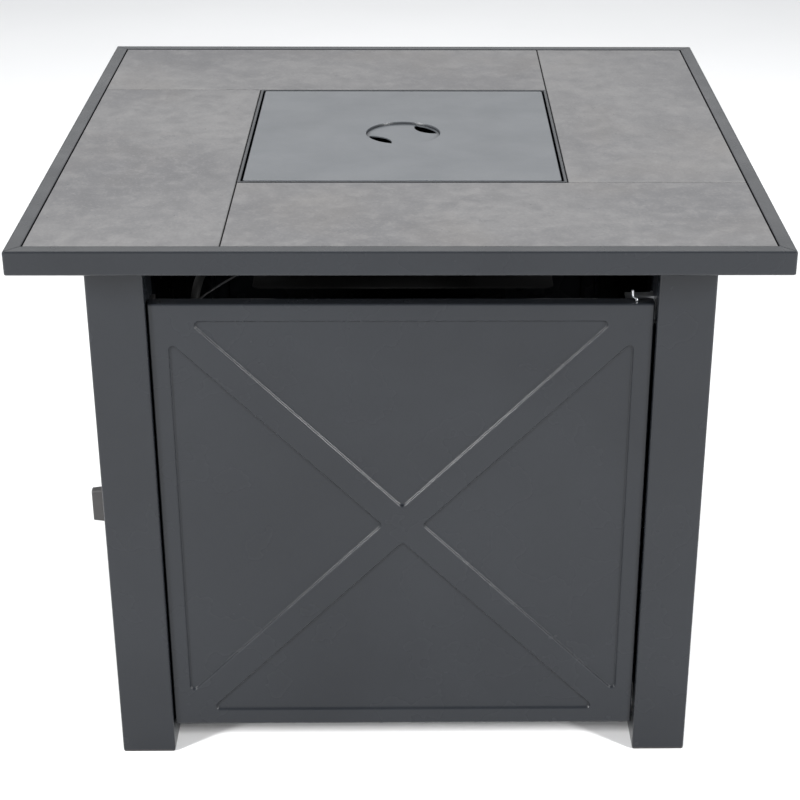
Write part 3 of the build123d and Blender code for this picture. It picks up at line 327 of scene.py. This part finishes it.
QUARTER_TURN = math.pi / 2
LOOKS = {
    "powder_coat": powder_coat("powder_coat", (0.0092, 0.0104, 0.0127), (0.0124, 0.0140, 0.0168),
                               rough=0.25),
    # The lid's gap setting gives stronger painted shade, so its dish wall and the gap around it
    # read as a dark line.
    "lid_coat": powder_coat("lid_coat", (0.060, 0.065, 0.071), (0.072, 0.078, 0.085),
                            rough=0.34, shine=0.5, soft=0.0003, gap=(0.006, 0.62, 0.96),
                            cloud=0.35, edge=0.1),
    "galvanised": galvanised("galvanised", (0.30, 0.31, 0.32)),
    "stainless": brushed("stainless", (0.50, 0.48, 0.46)),
    "zinc_pin": brushed("zinc_pin", (0.42, 0.43, 0.45), rough=0.26, stretch=(1, 1, 0.05)),
    "brass": brushed("brass", (0.62, 0.42, 0.16), rough=0.26),
    "heat_black": powder_coat("heat_black", (0.012, 0.012, 0.012), (0.018, 0.018, 0.018),
                              rough=0.55),
    "cast": cast("cast", (0.055, 0.055, 0.057)),
    "ceramic": glazed_white("ceramic"),
    "black_plastic": moulded("black_plastic", (0.020, 0.019, 0.019)),
    "nylon": moulded("nylon", (0.022, 0.022, 0.022), rough=0.5, grain=0.4),
    "lead_sleeve": moulded("lead_sleeve", (0.018, 0.018, 0.019), rough=0.5, grain=0.6),
}
# Each tile is cut from another part of the pattern, and turned to lie along its side of the top.
TILE_LOOKS = {
    "tile_front": concrete_tile("tile_front_look", (0.0, 0.0, 0.0), 0.0),
    "tile_right": concrete_tile("tile_right_look", (7.3, 2.9, 0.4), QUARTER_TURN),
    "tile_back": concrete_tile("tile_back_look", (14.1, 5.7, 0.9), 0.0),
    "tile_left": concrete_tile("tile_left_look", (21.9, 8.2, 1.3), QUARTER_TURN),
}


def dress(piece, look):
    """Give a piece one material."""
    for slot in piece.material_slots:
        slot.material = look
    if not piece.material_slots:
        piece.data.materials.append(look)


for part in frame["record"]["subparts"]:
    name = part["node"]
    dress(nodes[name], TILE_LOOKS.get(name) or LOOKS[part["material_slot"]])


# ------------------------------------------------------------ floor and lights
def floor():
    """A wide pale floor, a hair under the feet."""
    mesh = bpy.data.meshes.new("floor")
    far = FLOOR_HALF_WIDTH
    corners = [(-far, -far), (far, -far), (far, far), (-far, far)]
    mesh.from_pydata([(x, y, -FLOOR_DROP) for x, y in corners], [], [(0, 1, 2, 3)])
    piece = bpy.data.objects.new("floor", mesh)
    bpy.context.scene.collection.objects.link(piece)
    s = Shader("floor_look")
    colour = s.mix(s.fit(s.noise(1.3, detail=3), 0.35, 0.65), *FLOOR_TONES)
    dress(piece, s.finish(Base_Color=colour, Roughness=0.9))


def soft_box(name, place, target, size, power):
    """A rectangular soft light aimed at a point."""
    lamp = bpy.data.lights.new(name, "AREA")
    lamp.shape = "RECTANGLE"
    lamp.size, lamp.size_y = size
    lamp.energy = power
    piece = bpy.data.objects.new(name, lamp)
    piece.location = place
    aim = Vector(target) - Vector(place)
    piece.rotation_euler = aim.to_track_quat("-Z", "Y").to_euler()
    bpy.context.scene.collection.objects.link(piece)


floor()
for name, setting in LIGHTS.items():
    soft_box(name, *setting)

world = bpy.data.worlds.new("studio")
world.use_nodes = True
sky = world.node_tree.nodes["Background"]
sky.inputs["Color"].default_value = (*SKY_TINT, 1.0)
sky.inputs["Strength"].default_value = SKY_STRENGTH
bpy.context.scene.world = world
bpy.context.scene.view_settings.view_transform = "Standard"


# ---------------------------------------------------------------------- camera
def camera(place, pitch, yaw, roll, lens, shift):
    """A camera that looks down by pitch and turns right by yaw, in degrees, with its lens in mm."""
    pitch, yaw, roll = (math.radians(a) for a in (pitch, yaw, roll))
    ahead = Vector((math.sin(yaw) * math.cos(pitch), math.cos(yaw) * math.cos(pitch),
                    -math.sin(pitch)))
    right = Vector((math.cos(yaw), -math.sin(yaw), 0))
    up = right.cross(ahead)
    side = math.cos(roll) * right + math.sin(roll) * up
    top = math.cos(roll) * up - math.sin(roll) * right
    data = bpy.data.cameras.new("camera")
    data.sensor_width = SENSOR_WIDTH
    data.lens = lens
    data.shift_x = shift
    piece = bpy.data.objects.new("camera", data)
    turn = Matrix((side, top, -ahead)).transposed().to_4x4()
    piece.matrix_world = Matrix.Translation(place) @ turn
    bpy.context.scene.collection.objects.link(piece)
    bpy.context.scene.camera = piece


camera(place=(0.01198, -2.0256, 1.2580), pitch=25.56, yaw=1.07, roll=0.36,
       lens=82.55, shift=-0.05625)
